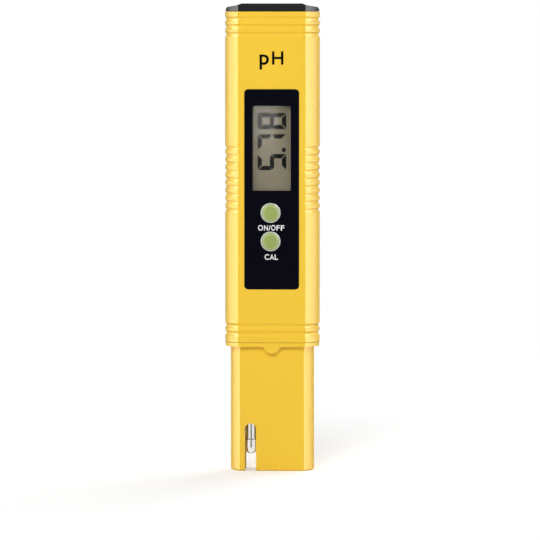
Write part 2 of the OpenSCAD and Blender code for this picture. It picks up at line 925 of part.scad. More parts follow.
module amplifier_chip() {
    color(black)
        translate([0, 0, cal_z]) {
            block([-chip_w / 2, board_y1, -chip_len / 2], [chip_w / 2, board_y1 + chip_h, chip_len / 2]);
            for (i = [-1.5:1.5])
                block([-chip_w / 2 - leg_len, board_y1, i * leg_pitch - leg_t],
                      [chip_w / 2 + leg_len, board_y1 + leg_t, i * leg_pitch + leg_t]);
        }
}

// Resistors and capacitors in two rows on the board's rear face
module chip_parts() {
    color("tan")
        for (s = [-1, 1], i = [0:4])
            translate([s * board_w / 3, board_y1, on_off_z + i * part_pitch])
                block([-part_w / 2, 0, -part_len / 2], [part_w / 2, part_h, part_len / 2]);
}

module crystal() {
    color("silver")
        translate([0, board_y1 + crystal_r, on_off_z + crystal_rise])
            cylinder(r = crystal_r, h = crystal_len);
}

module board_screws() {
    color("silver")
        for (s = [-1, 1], z = screw_z) {
            pin_y(s * screw_x, z, head_r, board_y1, board_y1 + head_t);
            pin_y(s * screw_x, z, screw_r, board_y0 - boss_depth + slide_fit, board_y1 + head_t / 2);
        }
}

// A contact spring from the board up to a cell's front face, on the side s
module contact_spring(s) {
    y0 = board_y0 - leaf_t;
    y1 = leaf_y - leaf_t;
    color("goldenrod")
        translate([s * leaf_x - leaf_w / 2, 0, 0])
            rotate([90, 0, 90])
                linear_extrude(leaf_w)
                    polygon([[board_y0, board_z1 - foot_len], [y0, board_z1 - foot_len], [y0, board_z1],
                             [y1, board_z1 + leaf_bend], [y1, cell_z], [leaf_y, cell_z],
                             [leaf_y, board_z1 + leaf_bend + leaf_t / 2],
                             [board_y0, board_z1 + leaf_t / 2]]);
}

module positive_contact() {
    contact_spring(-1);
}

module negative_contact() {
    contact_spring(1);
}

module battery_tray() {
    color("#2B2B30")
        difference() {
            union() {
                intersection() {
                    bar(wall + 3 * slide_fit, tray_z0, tray_z1);
                    block([-tray_w / 2, tray_y0, tray_z0], [tray_w / 2, tray_y1, tray_z1]);
                }
                block([-pull_w / 2, bridge_y, tray_z1 - tray_wall / 2],
                      [pull_w / 2, tray_y1, shell_z1 - tray_gap]);
            }
            for (s = [-1, 1])
                pin_y(s * cell_x, cell_z, pocket_r, tray_y0 - over, bridge_y);
            block([-cell_x - bridge_w / 2 - fit, cell_y - slide_fit, cell_z - bridge_w / 2 - fit],
                  [cell_x + bridge_w / 2 + fit, bridge_y, cell_z + bridge_w / 2 + fit]);
        }
}

// The plate that joins the two cells behind them
module battery_bridge() {
    color("goldenrod")
        block([-cell_x - bridge_w / 2, cell_y, cell_z - bridge_w / 2],
              [cell_x + bridge_w / 2, bridge_y, cell_z + bridge_w / 2]);
}

// A button cell on the side s, with its wide face to the front or to the rear
module button_cell(s, turn) {
    r = cell_d / 2;
    can_h = cell_t - cell_step;
    face_r = r - 3 * cell_edge;
    color("silver")
        translate([s * cell_x, 0, cell_z])
            rotate([turn, 0, 0])
                translate([0, 0, -cell_y])
                    rotate_extrude()
                        polygon([[0, 0], [r - cell_edge, 0], [r, cell_edge], [r, can_h - cell_edge],
                                 [r - cell_edge, can_h], [face_r, can_h], [face_r, cell_t - cell_edge],
                                 [face_r - cell_edge, cell_t], [0, cell_t]]);
}

module battery_cell_1() {
    button_cell(-1, -90);
}

module battery_cell_2() {
    button_cell(1, 90);
}

// The cap's shape from the front: flat in the middle, with a steep step and a slope on both sides
module crown(h) {
    edge = body_w / 2 - cap_inset - cap_chamfer;
    shoulder = body_w / 2 - side_sag + cap_step / 4;
    run = cap_chamfer + over;
    slope = [[edge + run, -2 * over], [edge + run, h - cap_fall - run], [edge, h - cap_fall],
             [shoulder, h - cap_fall / 2], [shoulder - cap_step, h]];
    rotate([90, 0, 0])
        linear_extrude(2 * body_d, center = true)
            polygon(concat(slope, [for (i = [4:-1:0]) [-slope[i][0], slope[i][1]]]));
}

module battery_cap() {
    spigot_t = wall + slide_fit;
    color(black)
        difference() {
            union() {
                translate([0, 0, cap_z0])
                    intersection() {
                        chamfered_bar(cap_inset, cap_z1 - cap_z0, cap_chamfer);
                        crown(cap_z1 - cap_z0);
                    }
                bar(spigot_t, shell_z1 - cap_spigot, cap_z0 + root);
            }
            bar(spigot_t + cap_wall, shell_z1 - cap_spigot - over, cap_z0);
            difference() {
                bar(spigot_t - over, seal_z - seal_h / 2, seal_z + seal_h / 2);
                bar(spigot_t + seal_depth, seal_z - seal_h, seal_z + seal_h);
            }
        }
}

module cap_seal() {
    color("#444448")
        difference() {
            bar(wall + fit, seal_z - seal_h / 2 + fit, seal_z + seal_h / 2 - fit);
            bar(wall + slide_fit + seal_depth - fit, seal_z - seal_h, seal_z + seal_h);
        }
}

// Holes for the three probes, each with a gap of fit
module probe_holes(z0, z1) {
    for (p = [[-probe_x, probe_r], [0, ref_r], [temp_x, temp_r]])
        translate([p[0], 0, z0])
            cylinder(r = p[1] + fit, h = z1 - z0);
}

module electrode_holder() {
    color("#E4E2DA")
        difference() {
            bar(bore_inset + fit, seat_z, holder_z1);
            probe_holes(seat_z - over, holder_z1 + over);
        }
}

module holder_seal() {
    color("#333338")
        difference() {
            bar(bore_inset + fit, holder_z1, gasket_z1);
            probe_holes(holder_z1 - over, gasket_z1 + over);
        }
}

// Points of a quarter round of radius r that starts on the axis, r below z
function tip(r, z, n = 10) = [for (i = [0:n]) [r * sin(90 * i / n), z - r * cos(90 * i / n)]];
function reverse(points) = [for (i = [len(points) - 1:-1:0]) points[i]];

module glass_electrode() {
    bulb_r = probe_r - membrane_t;
    bulb_z = tip_z + probe_r;
    color("lightblue", 0.5)
        translate([-probe_x, 0, 0])
            rotate_extrude()
                polygon(concat(
                    tip(probe_r, bulb_z),
                    [[probe_r, probe_z1], [probe_r - probe_wall, probe_z1],
                     [probe_r - probe_wall, bulb_z + bulb_len + membrane_t], [bulb_r, bulb_z + bulb_len]],
                    reverse(tip(bulb_r, bulb_z))
                ));
}

module electrode_stopper() {
    color("#333338")
        translate([-probe_x, 0, probe_z1])
            difference() {
                union() {
                    cylinder(r = probe_r, h = stopper_rim);
                    translate([0, 0, -stopper_h])
                        cylinder(r = probe_r - probe_wall - fit, h = stopper_h + root);
                }
                translate([0, 0, -stopper_h - over])
                    cylinder(r = wire_r + fit, h = stopper_h + stopper_rim + 2 * over);
            }
}

module silver_wire() {
    color("silver")
        translate([-probe_x, 0, tip_z + probe_r])
            cylinder(r = wire_r, h = probe_z1 + stopper_rim - tip_z - probe_r);
}

module electrode_lead() {
    color("red")
        translate([-probe_x, lead_y, probe_z1 + stopper_rim])
            cylinder(r = lead_r, h = lead_z1 - probe_z1 - stopper_rim);
}

module reference_tube() {
    color("#DDDDD5")
        difference() {
            translate([0, 0, seat_z])
                cylinder(r = ref_r, h = ref_len);
            translate([0, 0, seat_z + junction_len])
                cylinder(r = ref_r - ref_wall, h = ref_len);
            translate([0, 0, seat_z - over])
                cylinder(r = junction_r + fit, h = junction_len + 2 * over);
        }
}

module reference_junction() {
    color("white")
        translate([0, 0, seat_z])
            cylinder(r = junction_r, h = junction_len);
}

module reference_stopper() {
    color("#333338")
        difference() {
            translate([0, 0, ref_z1 - stopper_h])
                cylinder(r = ref_r - ref_wall - fit, h = stopper_h);
            translate([0, wire_y, ref_z1 - stopper_h - over])
                cylinder(r = wire_r + fit, h = stopper_h + 2 * over);
        }
}

module reference_wire() {
    z0 = seat_z + junction_len + 1;
    color("silver")
        translate([0, wire_y, z0])
            cylinder(r = wire_r, h = lead_z1 - z0);
}

module temperature_probe() {
    color("gray")
        translate([temp_x, 0, 0])
            rotate_extrude()
                polygon(concat(tip(temp_r, temp_tip + temp_r), [[temp_r, temp_z1], [0, temp_z1]]));
}

module thermistor_leads() {
    color("white")
        for (s = [-1, 1])
            translate([temp_x + s * (lead_r + slide_fit), lead_y, temp_z1])
                cylinder(r = lead_r, h = lead_z1 - temp_z1);
}

front_shell();
rear_shell();
probe_guard();
display_panel();
display_window();
on_off_ring();
cal_ring();
on_off_button();
cal_button();
on_off_plunger();
cal_plunger();
on_off_switch();
cal_switch();
lcd_front_glass();
lcd_rear_glass();
lcd_reflector();
lcd_frame();
left_contact_strip();
right_contact_strip();
circuit_board();
controller_blob();
amplifier_chip();
chip_parts();
crystal();
board_screws();
positive_contact();
negative_contact();
battery_tray();
battery_bridge();
battery_cell_1();
battery_cell_2();
battery_cap();
cap_seal();
electrode_holder();
holder_seal();
glass_electrode();
electrode_stopper();
silver_wire();
electrode_lead();
reference_tube();
reference_junction();
reference_stopper();
reference_wire();
temperature_probe();
thermistor_leads();
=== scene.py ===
# Pen meter for acidity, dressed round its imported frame: yellow housing, black panel with a
# display and two keys, button cells under a black cap, and a glass electrode in the sleeve.
import math

import bmesh
import bpy
from mathutils import Matrix, Vector


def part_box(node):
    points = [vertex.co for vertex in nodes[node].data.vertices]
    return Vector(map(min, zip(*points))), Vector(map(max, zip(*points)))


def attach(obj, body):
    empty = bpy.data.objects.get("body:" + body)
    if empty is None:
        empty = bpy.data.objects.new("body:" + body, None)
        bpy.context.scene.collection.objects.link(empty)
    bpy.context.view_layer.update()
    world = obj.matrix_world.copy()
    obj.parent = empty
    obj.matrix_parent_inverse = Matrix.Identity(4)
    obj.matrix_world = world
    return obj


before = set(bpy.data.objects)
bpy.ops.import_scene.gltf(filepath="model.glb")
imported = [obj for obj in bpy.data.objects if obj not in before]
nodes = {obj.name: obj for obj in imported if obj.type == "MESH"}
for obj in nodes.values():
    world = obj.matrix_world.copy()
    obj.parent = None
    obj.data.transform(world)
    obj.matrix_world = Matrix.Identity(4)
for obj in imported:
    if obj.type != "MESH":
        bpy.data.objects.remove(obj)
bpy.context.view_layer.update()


# Housing: two glossy yellow moulded half-shells, snapped together along the side seam.
# Fine mould grain, a little drift in the colour, and edges rubbed pale by handling.
MM = 0.001
CLOUDS_PER_M = 55.0
RUBS_PER_M = 420.0
EDGE_GAIN = 6.0
GLOSS_DRIFT = 0.06
WORN_ROUGHER = 0.3


def paint(red, green, blue):
    """A colour as it is seen on screen, from 0 to 255, as shader values."""
    seen = [c / 255 for c in (red, green, blue)]
    return tuple(c / 12.92 if c <= 0.04045 else ((c + 0.055) / 1.055) ** 2.4 for c in seen) + (1.0,)


def place(tree, kind, inputs=None, **settings):
    """One node on a sheet. An input is a plain value or the output that feeds it."""
    node = tree.nodes.new(kind)
    for name, value in settings.items():
        setattr(node, name, value)
    for name, value in (inputs or {}).items():
        if isinstance(value, bpy.types.NodeSocket):
            tree.links.new(value, node.inputs[name])
        else:
            node.inputs[name].default_value = value
    return node


def sums(tree, how, first, second=0.0, third=0.0, clamp=False):
    """One step of arithmetic on a sheet."""
    step = place(tree, "ShaderNodeMath", {0: first, 1: second, 2: third}, operation=how, use_clamp=clamp)
    return step.outputs[0]


def wander(tree, pattern, reach, middle, clamp=False):
    """A value that strays round its middle with a pattern that runs from 0 to 1."""
    return sums(tree, "MULTIPLY_ADD", sums(tree, "SUBTRACT", pattern, 0.5), reach, middle, clamp)


def blend_colours(tree, share, first, second):
    """A mix of two colours on a sheet."""
    colour_a, colour_b, result = 6, 7, 2
    mix = place(tree, "ShaderNodeMix", {0: share, colour_a: first, colour_b: second}, data_type="RGBA")
    return mix.outputs[result]


def own_place(tree):
    """The place on the piece itself, which every pattern is read at."""
    return place(tree, "ShaderNodeTexCoord").outputs["Object"]


def mottling(tree, spot, per_metre, detail):
    """A cloudy pattern from 0 to 1, with about this many clouds to a metre."""
    values = {"Vector": spot, "Scale": per_metre, "Detail": detail}
    return place(tree, "ShaderNodeTexNoise", values).outputs[0]


def effect(name, inputs, outputs):
    """A new shader group with named inputs and outputs: the group, its inlet and its outlet."""
    group = bpy.data.node_groups.new(name, "ShaderNodeTree")
    for label, kind, value in inputs:
        socket = group.interface.new_socket(label, in_out="INPUT", socket_type="NodeSocket" + kind)
        socket.default_value = value
    for label, kind in outputs:
        group.interface.new_socket(label, in_out="OUTPUT", socket_type="NodeSocket" + kind)
    return group, group.nodes.new("NodeGroupInput").outputs, group.nodes.new("NodeGroupOutput").inputs


def finish_named(name, **sockets):
    """A material with one shader on its sheet, whose plain sockets are set here."""
    material = bpy.data.materials.new(name)
    material.use_nodes = True
    tree = material.node_tree
    tree.nodes.clear()
    shader = place(tree, "ShaderNodeBsdfPrincipled", {k.replace("_", " "): v for k, v in sockets.items()})
    place(tree, "ShaderNodeOutputMaterial", {"Surface": shader.outputs[0]})
    return material, tree, shader


def lay(group, tree, shader, values):
    """Lays a surface effect on a material: its values go in, colour, roughness and normal come out."""
    surface = place(tree, "ShaderNodeGroup", values, node_tree=group)
    for given, taken in (("Colour", "Base Color"), ("Roughness", "Roughness"), ("Normal", "Normal")):
        tree.links.new(surface.outputs[given], shader.inputs[taken])


def dress(material, *pieces):
    """Gives whole pieces one material."""
    for piece in pieces:
        piece.data.materials.clear()
        piece.data.materials.append(material)


moulded, put, out = effect(
    "moulded_plastic",
    [
        ("Colour", "Color", (0.8, 0.8, 0.8, 1)),
        ("Rubbed Colour", "Color", (1, 1, 1, 1)),
        ("Rubbed Share", "Float", 0.3),
        ("Drift", "Float", 0.05),
        ("Roughness", "Float", 0.3),
        ("Grain Scale", "Float", 4000.0),
        ("Grain Depth", "Float", 0.00001),
        ("Edge Radius", "Float", 0.0001),
    ],
    [("Colour", "Color"), ("Roughness", "Float"), ("Normal", "Vector")],
)
where = own_place(moulded)
cloud = mottling(moulded, where, CLOUDS_PER_M, detail=3.0)
grain = mottling(moulded, where, put["Grain Scale"], detail=2.0)
rubbing = mottling(moulded, where, RUBS_PER_M, detail=4.0)
edge = place(moulded, "ShaderNodeBevel", {"Radius": put["Edge Radius"]}, samples=4).outputs[0]
face = place(moulded, "ShaderNodeNewGeometry").outputs["Normal"]
level = place(moulded, "ShaderNodeVectorMath", {0: edge, 1: face}, operation="DOT_PRODUCT").outputs["Value"]
turned = sums(moulded, "SUBTRACT", 1.0, level, clamp=True)
worn = sums(moulded, "MULTIPLY", turned, EDGE_GAIN, clamp=True)
worn = sums(moulded, "MULTIPLY", sums(moulded, "MULTIPLY", worn, rubbing), put["Rubbed Share"], clamp=True)
shade = wander(moulded, cloud, put["Drift"], 1.0)
tone = place(moulded, "ShaderNodeHueSaturation", {"Color": put["Colour"], "Value": shade}).outputs[0]
moulded.links.new(blend_colours(moulded, worn, tone, put["Rubbed Colour"]), out["Colour"])
rough = wander(moulded, rubbing, GLOSS_DRIFT, put["Roughness"])
moulded.links.new(sums(moulded, "MULTIPLY_ADD", worn, WORN_ROUGHER, rough, clamp=True), out["Roughness"])
bump = place(moulded, "ShaderNodeBump", {"Height": grain, "Distance": put["Grain Depth"], "Normal": edge})
moulded.links.new(bump.outputs[0], out["Normal"])


def plastic(name, colour, rubbed, share, drift, roughness, grain, depth, edge, **sockets):
    """A moulded piece's material: its own values for the shared surface effect."""
    material, tree, shader = finish_named(name, **sockets)
    lay(moulded, tree, shader, {
        "Colour": colour, "Rubbed Colour": rubbed, "Rubbed Share": share, "Drift": drift,
        "Roughness": roughness, "Grain Scale": grain, "Grain Depth": depth, "Edge Radius": edge,
    })
    return material


housing_yellow = plastic(
    "housing_yellow", paint(246, 202, 58), rubbed=paint(255, 228, 120), share=0.4, drift=0.02,
    roughness=0.24, grain=5200.0, depth=0.002 * MM, edge=0.14 * MM, Specular_IOR_Level=0.3,
)
dress(housing_yellow, nodes["front_shell"], nodes["rear_shell"])


# Sign of the pen: the letters pH, pad-printed in black ink on the front shell.
# The ink stands a hair over the plastic and is a little uneven, as pad printing is.
INK_THICK = 0.015 * MM
MOTTLES_PER_M = 2600.0
SIGN = (("p", 3.15, 3.03, -2.39), ("H", 4.17, 3.65, 1.93))
front_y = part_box("front_shell")[0].y


def piece_from(mesh_build, name, body):
    """A finished piece from a mesh in the making, its faces turned outwards."""
    bmesh.ops.recalc_face_normals(mesh_build, faces=mesh_build.faces)
    mesh = bpy.data.meshes.new(name)
    mesh_build.to_mesh(mesh)
    mesh_build.free()
    piece = bpy.data.objects.new(name, mesh)
    bpy.context.scene.collection.objects.link(piece)
    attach(piece, body)
    return piece


def lettering(name, letters, weight, base_z, face_y):
    """A printed word on a face that looks along -Y.

    Each letter has its height, its width and the X of its middle, and base_z is their foot, all in mm."""
    word = bmesh.new()
    for letter, height, width, middle in letters:
        text = bpy.data.curves.new(name, "FONT")
        text.body = letter
        text.extrude = 0.5  # one unit thick, before it is scaled to the ink
        text.offset = weight
        text.resolution_u = 6
        draft = bpy.data.objects.new(name + "_draft", text)
        bpy.context.scene.collection.objects.link(draft)
        bpy.context.view_layer.update()
        mesh = bpy.data.meshes.new_from_object(draft.evaluated_get(bpy.context.evaluated_depsgraph_get()))
        bpy.data.objects.remove(draft)
        low = min(v.co.x for v in mesh.vertices)
        high = max(v.co.x for v in mesh.vertices)
        top = max(v.co.y for v in mesh.vertices)
        mesh.transform(Matrix.Translation((-(low + high) / 2, 0, 0)))
        mesh.transform(Matrix.Diagonal((width * MM / (high - low), height * MM / top, INK_THICK, 1)))
        mesh.transform(Matrix.Rotation(math.radians(90), 4, "X"))
        mesh.transform(Matrix.Translation((middle * MM, face_y - INK_THICK / 2, base_z * MM)))
        word.from_mesh(mesh)
        bpy.data.meshes.remove(mesh)
    return piece_from(word, name, "pen")


def between(tree, share, first, last):
    """A value that runs from first to last as the share runs from 0 to 1."""
    return sums(tree, "MULTIPLY_ADD", share, last - first, first)


def ink(name, colour, thin, **sockets):
    """Printing ink: dense, slightly mottled, duller than what it lies on."""
    material, tree, shader = finish_named(name, Specular_IOR_Level=0.02, **sockets)
    mottle = mottling(tree, own_place(tree), MOTTLES_PER_M, detail=3.0)
    tree.links.new(blend_colours(tree, mottle, colour, thin), shader.inputs["Base Color"])
    tree.links.new(between(tree, mottle, 0.4, 0.65), shader.inputs["Roughness"])
    return material


sign_ink = ink("sign_ink", paint(2, 2, 3), thin=paint(10, 10, 10))
dress(sign_ink, lettering("sign_ph", SIGN, weight=0.016, base_z=130.77, face_y=front_y))


# Sleeve of the electrodes: the same yellow plastic, moulded in one piece with its collar
# and tab, and snapped into the lower end of the shells.
dress(housing_yellow, nodes["probe_guard"])


# Panel: a blue-black film laid in the recess of the front shell, with a fine satin
# tooth, and white words printed under the keys.
ON_OFF_WORD = (
    ("O", 1.75, 1.6, -3.58), ("N", 1.66, 1.27, -1.84), ("/", 1.66, 0.72, -0.66),
    ("O", 1.75, 1.42, 0.54), ("F", 1.66, 1.1, 2.05), ("F", 1.66, 1.15, 3.48),
)
CAL_WORD = (("C", 1.75, 1.42, -1.55), ("A", 1.68, 1.42, 0.07), ("L", 1.68, 1.1, 1.48))
panel_black = plastic(
    "panel_black", paint(6, 6, 18), rubbed=paint(50, 50, 66), share=0.2, drift=0.1,
    roughness=0.4, grain=3600.0, depth=0.002 * MM, edge=0.1 * MM, Specular_IOR_Level=0.03,
)
dress(panel_black, nodes["display_panel"])
panel_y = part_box("display_panel")[0].y
legend_ink = ink("legend_ink", paint(240, 240, 240), thin=paint(222, 224, 226))
dress(legend_ink, lettering("on_off_legend", ON_OFF_WORD, weight=0.02, base_z=77.67, face_y=panel_y))
dress(legend_ink, lettering("cal_legend", CAL_WORD, weight=0.02, base_z=68.3, face_y=panel_y))


# Window: a clear acrylic plate set in the front shell behind the panel's opening.
# It lets the lamps through to the display, so it throws no shadow.
def clear(name, ior, flows_per_m, haze):
    """A clear material with faint flow marks and a breath of haze."""
    material, tree, shader = finish_named(name, Transmission_Weight=1.0, IOR=ior)
    flow = mottling(tree, own_place(tree), flows_per_m, detail=2.0)
    tint = blend_colours(tree, flow, (1, 1, 1, 1), paint(250, 252, 250))
    tree.links.new(tint, shader.inputs["Base Color"])
    tree.links.new(sums(tree, "MULTIPLY", flow, haze), shader.inputs["Roughness"])
    return material


dress(clear("window_clear", ior=1.07, flows_per_m=220.0, haze=0.03), nodes["display_window"])
nodes["display_window"].visible_shadow = False


# Display: a cell of two glass plates over a reflector, held in a white frame, with a
# rubber contact strip along each side. Its film is grey-green and polished, with pale
# specks painted in as glints, and the digits lie on it and read sideways.
POLISH = {"Coat_Weight": 0.11, "Coat_Roughness": 0.02}  # a clear coat, which carries the glare
GLINT_SPECKS_PER_M = 9000.0
PAINTED_GLINT_SHARE = 0.12
WASHES_PER_M = 60.0
film, tree, shader = finish_named("display_film", Specular_IOR_Level=0.03, **POLISH)
spot = own_place(tree)
glint_specks = mottling(tree, spot, GLINT_SPECKS_PER_M, detail=1.0)
wash = mottling(tree, spot, WASHES_PER_M, detail=2.0)
tint = blend_colours(tree, wash, paint(93, 87, 71), paint(98, 91, 75))
# Painted glints: pale specks mixed into the film's colour.
tint = blend_colours(tree, sums(tree, "MULTIPLY", glint_specks, PAINTED_GLINT_SHARE), tint, paint(170, 166, 150))
tree.links.new(tint, shader.inputs["Base Color"])
tree.links.new(between(tree, glint_specks, 0.35, 0.55), shader.inputs["Roughness"])
dress(film, nodes["lcd_front_glass"], nodes["lcd_reflector"])
dress(clear("display_glass", ior=1.52, flows_per_m=150.0, haze=0.02), nodes["lcd_rear_glass"])

DIGIT_H = 9.2 * MM
DIGIT_W = 5.2 * MM
DIGIT_X = 0.03 * MM
DIGIT_THICK = 0.02 * MM
BAR = 1.4 * MM
SLIT = 0.2 * MM
DOT_X, DOT_Z, DOT_R = 3.85 * MM, 103.4 * MM, 0.68 * MM
DOT_SIDES = 24
READING = ((96.9, "afgcd"), (103.25, "abc"), (110.05, "abcdefg"))  # foot in mm, bars of 5, 7 and 8


def bar_shape(segment):
    """Corners of one bar of a digit, across and up, mitred to its neighbours."""
    wide, high, mid, half = DIGIT_W, DIGIT_H, DIGIT_H / 2, BAR / 2
    mitre = BAR + SLIT
    blunt = half + SLIT
    shapes = {
        "a": [(SLIT, high), (wide - SLIT, high), (wide - mitre, high - BAR), (mitre, high - BAR)],
        "d": [(SLIT, 0.0), (mitre, BAR), (wide - mitre, BAR), (wide - SLIT, 0.0)],
        "f": [(0.0, high - SLIT), (BAR, high - mitre), (BAR, mid + blunt), (0.0, mid + SLIT)],
        "e": [(0.0, mid - SLIT), (BAR, mid - blunt), (BAR, mitre), (0.0, SLIT)],
        "g": [
            (SLIT, mid), (blunt, mid + half), (wide - blunt, mid + half),
            (wide - SLIT, mid), (wide - blunt, mid - half), (blunt, mid - half),
        ],
    }
    shapes["b"] = [(wide - x, y) for x, y in reversed(shapes["f"])]
    shapes["c"] = [(wide - x, y) for x, y in reversed(shapes["e"])]
    return shapes[segment]


def extrude_flat(mesh_build, corners, y0, y1):
    """A thin plate with these corners in X and Z, from y0 to y1."""
    near = [mesh_build.verts.new((x, y0, z)) for x, z in corners]
    far = [mesh_build.verts.new((x, y1, z)) for x, z in corners]
    mesh_build.faces.new(near)
    mesh_build.faces.new(reversed(far))
    for i in range(len(corners)):
        j = (i + 1) % len(corners)
        mesh_build.faces.new((near[i], far[i], far[j], near[j]))


film_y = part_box("lcd_front_glass")[0].y
digits = bmesh.new()
for foot, lit in READING:
    for segment in lit:
        corners = [(DIGIT_X + DIGIT_H / 2 - up, foot * MM + across) for across, up in bar_shape(segment)]
        extrude_flat(digits, corners, film_y - DIGIT_THICK, film_y)
bearings = [step * math.tau / DOT_SIDES for step in range(DOT_SIDES)]
dot = [(DOT_X + DOT_R * math.cos(bearing), DOT_Z + DOT_R * math.sin(bearing)) for bearing in bearings]
extrude_flat(digits, dot, film_y - DIGIT_THICK, film_y)
digit_ink = ink("digit_black", paint(3, 3, 4), thin=paint(8, 8, 9), **POLISH)
dress(digit_ink, piece_from(digits, "display_digits", "pen"))

white_plastic = plastic(
    "frame_white", paint(225, 225, 220), rubbed=paint(245, 245, 240), share=0.3, drift=0.05,
    roughness=0.45, grain=3000.0, depth=0.006 * MM, edge=0.1 * MM,
)
dress(white_plastic, nodes["lcd_frame"])

LAYER_SCALE = 2200.0
strip_rubber, tree, shader = finish_named("contact_rubber", Specular_IOR_Level=0.3)
layers = place(
    tree, "ShaderNodeTexWave", {"Vector": own_place(tree), "Scale": LAYER_SCALE, "Distortion": 0.3},
    bands_direction="Z",
).outputs["Fac"]
tint = blend_colours(tree, layers, paint(22, 22, 24), paint(150, 110, 120))
tree.links.new(tint, shader.inputs["Base Color"])
tree.links.new(between(tree, layers, 0.7, 0.5), shader.inputs["Roughness"])
dress(strip_rubber, nodes["left_contact_strip"], nodes["right_contact_strip"])


# Keys: soft green caps in pale trim rings, each on a black plunger over its switch.
# The green is painted paler towards the rim, a painted highlight where the domed top turns down.
RIM_HIGHLIGHT_START = 1.9 * MM
RIM_HIGHLIGHT_END = 2.6 * MM


def off_axis(tree, spot):
    """How far a centred place lies from the axis that runs along Y."""
    level = place(tree, "ShaderNodeVectorMath", {0: spot, 1: (1, 0, 1)}, operation="MULTIPLY").outputs[0]
    return place(tree, "ShaderNodeVectorMath", {0: level}, operation="LENGTH").outputs["Value"]


for name in ("on_off", "cal"):
    low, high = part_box(name + "_button")
    centre = (low + high) / 2
    key_green, tree, shader = finish_named(name + "_green", Specular_IOR_Level=0.35)
    to_centre = {"Vector": own_place(tree), "Location": (-centre.x, 0, -centre.z)}
    centred = place(tree, "ShaderNodeMapping", to_centre).outputs[0]
    reach = {"Value": off_axis(tree, centred), "From Min": RIM_HIGHLIGHT_START, "From Max": RIM_HIGHLIGHT_END}
    # Painted highlight: the paler green at the rim stands in for light caught by the turning edge.
    rim_highlight = place(tree, "ShaderNodeMapRange", reach, interpolation_type="SMOOTHSTEP").outputs[0]
    lay(moulded, tree, shader, {
        "Colour": blend_colours(tree, rim_highlight, paint(150, 167, 88), paint(184, 197, 140)),
        "Rubbed Colour": paint(200, 212, 150), "Rubbed Share": 0.3, "Drift": 0.12, "Roughness": 0.42,
        "Grain Scale": 4200.0, "Grain Depth": 0.006 * MM, "Edge Radius": 0.12 * MM,
    })
    dress(key_green, nodes[name + "_button"])

ring_pale = plastic(
    "ring_pale", paint(200, 205, 182), rubbed=paint(250, 250, 244), share=0.3, drift=0.06,
    roughness=0.16, grain=2600.0, depth=0.002 * MM, edge=0.2 * MM,
    Specular_IOR_Level=0.7, Coat_Weight=0.4, Coat_Roughness=0.08,
)
dress(ring_pale, nodes["on_off_ring"], nodes["cal_ring"])


# Cap: black moulded plastic pressed into the top of the housing, with a rubber seal round
# its spigot. The battery tray and the keys' plungers are moulded in the same black.
cap_black = plastic(
    "cap_black", paint(29, 29, 30), rubbed=paint(72, 72, 76), share=0.3, drift=0.12,
    roughness=0.25, grain=4200.0, depth=0.003 * MM, edge=0.22 * MM, Specular_IOR_Level=0.25,
)
dress(cap_black, nodes["battery_cap"], nodes["battery_tray"], nodes["on_off_plunger"], nodes["cal_plunger"])
seal_rubber = plastic(
    "seal_rubber", paint(40, 40, 44), rubbed=paint(90, 90, 94), share=0.3, drift=0.2,
    roughness=0.72, grain=2400.0, depth=0.01 * MM, edge=0.1 * MM, Specular_IOR_Level=0.25,
)
dress(seal_rubber, nodes["cap_seal"], nodes["holder_seal"])
dress(seal_rubber, nodes["electrode_stopper"], nodes["reference_stopper"])


# Metal pieces: nickel-plated steel and gilded spring bronze, drawn or spun, so their fine
# lines run one way and their gloss is uneven.
SMEARS_PER_M = 260.0
GLOSS_REACH = 0.2
LINE_DEPTH = 0.004 * MM
spun, put, out = effect(
    "worked_metal",
    [
        ("Colour", "Color", (0.6, 0.6, 0.6, 1)),
        ("Dull Colour", "Color", (0.4, 0.4, 0.4, 1)),
        ("Roughness", "Float", 0.3),
        ("Line Scale", "Float", 5000.0),
        ("Centre", "Vector", (0, 0, 0)),
    ],
    [("Colour", "Color"), ("Roughness", "Float"), ("Normal", "Vector")],
)
where = own_place(spun)
shifted = place(spun, "ShaderNodeVectorMath", {0: where, 1: put["Centre"]}, operation="SUBTRACT").outputs[0]
lines = place(
    spun, "ShaderNodeTexNoise", {"W": off_axis(spun, shifted), "Scale": put["Line Scale"], "Detail": 2.0},
    noise_dimensions="1D",
).outputs[0]
smear = mottling(spun, where, SMEARS_PER_M, detail=3.0)
spun.links.new(blend_colours(spun, smear, put["Colour"], put["Dull Colour"]), out["Colour"])
rough = wander(spun, lines, GLOSS_REACH, put["Roughness"])
spun.links.new(wander(spun, smear, GLOSS_REACH, rough, clamp=True), out["Roughness"])
bump = place(spun, "ShaderNodeBump", {"Height": lines, "Distance": LINE_DEPTH})
spun.links.new(bump.outputs[0], out["Normal"])


def metal(name, colour, dull, roughness, lines, centre=(0, 0, 0)):
    """A worked metal's material: its own values for the shared effect, with its lines round a centre."""
    material, tree, shader = finish_named(name, Metallic=1.0)
    lay(spun, tree, shader, {
        "Colour": colour, "Dull Colour": dull, "Roughness": roughness,
        "Line Scale": lines, "Centre": centre,
    })
    return material


steel = metal("plated_steel", paint(206, 206, 210), dull=paint(176, 177, 182), roughness=0.28, lines=5200.0)
gilt = metal("spring_bronze", paint(222, 184, 110), dull=paint(196, 156, 88), roughness=0.3, lines=4200.0)
silver = metal(
    "silver_wire_metal", paint(226, 226, 224), dull=paint(190, 190, 188), roughness=0.3, lines=3600.0,
)
dress(steel, nodes["board_screws"], nodes["crystal"])
dress(gilt, nodes["positive_contact"], nodes["negative_contact"], nodes["battery_bridge"])
dress(silver, nodes["silver_wire"], nodes["reference_wire"])


